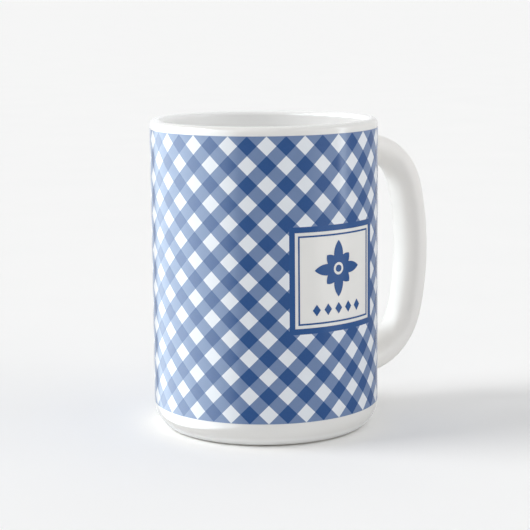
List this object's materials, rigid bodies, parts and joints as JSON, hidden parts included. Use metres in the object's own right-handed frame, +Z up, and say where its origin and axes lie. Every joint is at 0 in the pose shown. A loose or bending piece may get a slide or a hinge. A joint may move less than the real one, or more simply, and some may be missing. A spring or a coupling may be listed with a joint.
{
  "type": "ceramic mug",
  "caption": "Tall straight-sided glazed ceramic mug with a D-shaped handle, a curved-in foot ring and a printed gingham wrap with a framed label.",
  "frame": {"origin": "centre of the standing ring, on the surface that the mug stands on", "axes": "+Z up along the cup's axis, +X towards the handle, -Y out of the framed label"},
  "size_m": [0.1241, 0.0862, 0.1175],
  "materials": {
    "glazed_clay": "clear gloss glaze over white clay",
    "slip": "slip under the same gloss glaze",
    "wrap_ink": "gloss, blue and white gingham under a clear coat",
    "label_ink": "gloss, solid dark blue"
  },
  "bodies": {
    "root": {"body": "glazed_clay", "handle": "glazed_clay", "upper_slip_joint": "slip", "lower_slip_joint": "slip", "wrap_print": "wrap_ink", "label_border": "label_ink", "label_line": "label_ink", "label_motif": "label_ink"}
  },
  "joints": []
}
